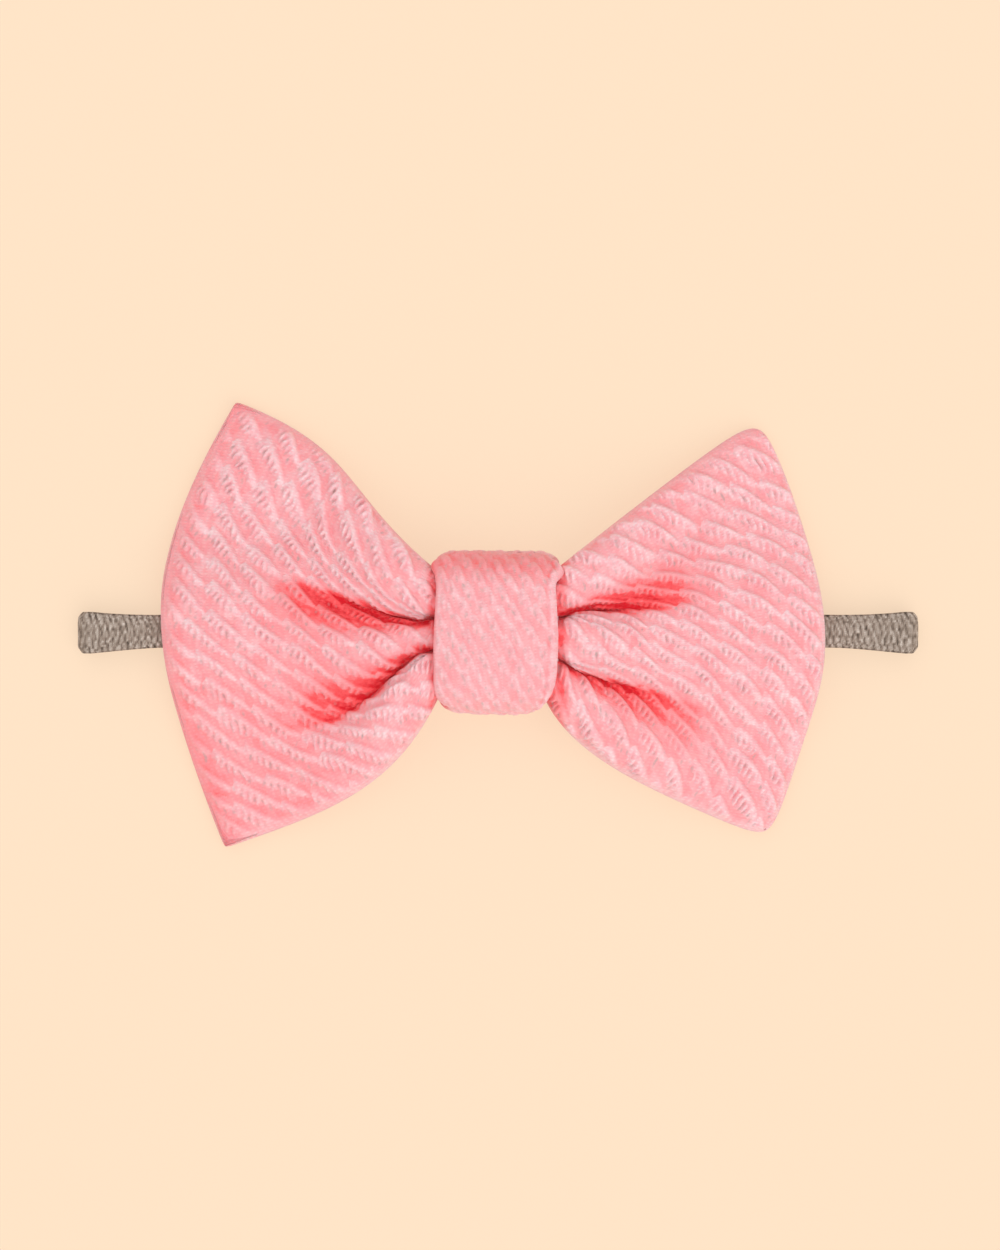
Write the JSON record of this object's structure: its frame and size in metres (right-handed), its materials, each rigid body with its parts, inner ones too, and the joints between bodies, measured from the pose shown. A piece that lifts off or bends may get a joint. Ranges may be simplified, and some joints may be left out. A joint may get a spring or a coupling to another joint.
{
  "type": "bow headband",
  "caption": "Baby headband: a padded, pinched bow of textured knit held by a centre wrap on a thin, soft, stretchy knitted elastic loop that opens to go round a head.",
  "frame": {"origin": "middle of the underside of the loop's back run, straight below the middle of the knot, on the surface that the headband lies on", "axes": "+X along the flattened loop towards the right wing, +Y up the bow, +Z out of the bow's face, away from the surface"},
  "size_m": [0.144, 0.076, 0.017],
  "materials": {
    "bow_knit": "soft textured double knit",
    "wrap_knit": "soft fine knit",
    "band_knit": "soft ribbed nylon knit",
    "pink_thread": "spun thread",
    "grey_thread": "spun thread",
    "glue": "translucent hot-melt adhesive"
  },
  "bodies": {
    "knot": {"bow_waist": "bow_knit", "gathering_thread": "pink_thread", "centre_wrap": "wrap_knit", "wrap_stitches": "pink_thread", "adhesive_dabs": "glue", "band_join_stitches": "grey_thread", "band_left_end": "band_knit", "band_right_end": "band_knit"},
    "left_wing": {"bow_front_left": "bow_knit", "bow_back_left": "bow_knit", "edge_seam_left": "pink_thread"},
    "right_wing": {"bow_front_right": "bow_knit", "bow_back_right": "bow_knit", "edge_seam_right": "pink_thread"},
    "back_centre": {"band_back_centre": "band_knit"},
    "left_front_inner": {"band_left_front_stub": "band_knit", "band_left_front_elastic": "band_knit"},
    "left_front_knee": {"band_left_front_knee": "band_knit"},
    "left_front_outer": {"band_left_front_outer": "band_knit", "band_left_fold": "band_knit"},
    "left_back_outer": {"band_left_back_outer": "band_knit"},
    "left_back_knee": {"band_left_back_knee": "band_knit", "band_left_back_elastic": "band_knit"},
    "left_back_inner": {"band_left_back_stub": "band_knit"},
    "right_front_inner": {"band_right_front_stub": "band_knit", "band_right_front_elastic": "band_knit"},
    "right_front_knee": {"band_right_front_knee": "band_knit"},
    "right_front_outer": {"band_right_front_outer": "band_knit", "band_right_fold": "band_knit"},
    "right_back_outer": {"band_right_back_outer": "band_knit"},
    "right_back_knee": {"band_right_back_knee": "band_knit", "band_right_back_elastic": "band_knit"},
    "right_back_inner": {"band_right_back_stub": "band_knit"}
  },
  "joints": [
    {"name": "left_wing_flex", "type": "hinge", "parent": "knot", "child": "left_wing", "pos_m": [-0.0113, 0, 0.0107], "axis": [0, 1, 0], "range_deg": [0, 35], "stiffness_Nm_per_rad": 0.003},
    {"name": "right_wing_flex", "type": "hinge", "parent": "knot", "child": "right_wing", "pos_m": [0.0113, 0, 0.0107], "axis": [0, -1, 0], "range_deg": [0, 35], "stiffness_Nm_per_rad": 0.003},
    {"name": "left_front_inner_bend", "type": "hinge", "parent": "knot", "child": "left_front_inner", "pos_m": [-0.01394, 0, 0.00395], "axis": [0, -1, 0], "range_deg": [0, 36]},
    {"name": "band_stretch", "type": "slide", "parent": "left_front_inner", "child": "left_front_knee", "axis": [-1, 0, 0], "range_m": [0, 0.03], "stiffness_N_per_m": 40, "deforming": ["band_left_front_elastic"]},
    {"name": "left_front_outer_bend", "type": "hinge", "parent": "left_front_knee", "child": "left_front_outer", "pos_m": [-0.04182, 0, 0.00395], "axis": [0, -1, 0], "range_deg": [0, 36]},
    {"name": "loop_open", "type": "hinge", "parent": "left_front_outer", "child": "left_back_outer", "pos_m": [-0.0697, 0, 0.0023], "axis": [0, 1, 0], "range_deg": [0, 144], "deforming": ["band_left_fold"]},
    {"name": "left_back_outer_bend", "type": "hinge", "parent": "left_back_outer", "child": "left_back_knee", "pos_m": [-0.04182, 0, 0.00065], "axis": [0, -1, 0], "range_deg": [0, 36]},
    {"name": "left_back_stretch", "type": "slide", "parent": "left_back_knee", "child": "left_back_inner", "axis": [1, 0, 0], "range_m": [0, 0.03], "deforming": ["band_left_back_elastic"]},
    {"name": "left_back_inner_bend", "type": "hinge", "parent": "left_back_inner", "child": "back_centre", "pos_m": [-0.01394, 0, 0.00065], "axis": [0, -1, 0], "range_deg": [0, 36]},
    {"name": "right_front_inner_bend", "type": "hinge", "parent": "knot", "child": "right_front_inner", "pos_m": [0.01394, 0, 0.00395], "axis": [0, 1, 0], "range_deg": [0, 36]},
    {"name": "right_front_stretch", "type": "slide", "parent": "right_front_inner", "child": "right_front_knee", "axis": [1, 0, 0], "range_m": [0, 0.03], "deforming": ["band_right_front_elastic"]},
    {"name": "right_front_outer_bend", "type": "hinge", "parent": "right_front_knee", "child": "right_front_outer", "pos_m": [0.04182, 0, 0.00395], "axis": [0, 1, 0], "range_deg": [0, 36]},
    {"name": "right_fold_open", "type": "hinge", "parent": "right_front_outer", "child": "right_back_outer", "pos_m": [0.0697, 0, 0.0023], "axis": [0, -1, 0], "range_deg": [0, 144], "deforming": ["band_right_fold"]},
    {"name": "right_back_outer_bend", "type": "hinge", "parent": "right_back_outer", "child": "right_back_knee", "pos_m": [0.04182, 0, 0.00065], "axis": [0, 1, 0], "range_deg": [0, 36]},
    {"name": "right_back_stretch", "type": "slide", "parent": "right_back_knee", "child": "right_back_inner", "axis": [-1, 0, 0], "range_m": [0, 0.03], "deforming": ["band_right_back_elastic"]}
  ],
  "couplings": [
    {"joint": "left_back_stretch", "follows": "band_stretch", "ratio": 1},
    {"joint": "left_front_inner_bend", "follows": "loop_open", "ratio": 0.25},
    {"joint": "left_front_outer_bend", "follows": "loop_open", "ratio": 0.25},
    {"joint": "left_back_outer_bend", "follows": "loop_open", "ratio": 0.25},
    {"joint": "left_back_inner_bend", "follows": "loop_open", "ratio": 0.25},
    {"joint": "right_front_stretch", "follows": "band_stretch", "ratio": 1},
    {"joint": "right_fold_open", "follows": "loop_open", "ratio": 1},
    {"joint": "right_back_stretch", "follows": "band_stretch", "ratio": 1},
    {"joint": "right_front_inner_bend", "follows": "loop_open", "ratio": 0.25},
    {"joint": "right_front_outer_bend", "follows": "loop_open", "ratio": 0.25},
    {"joint": "right_back_outer_bend", "follows": "loop_open", "ratio": 0.25}
  ]
}
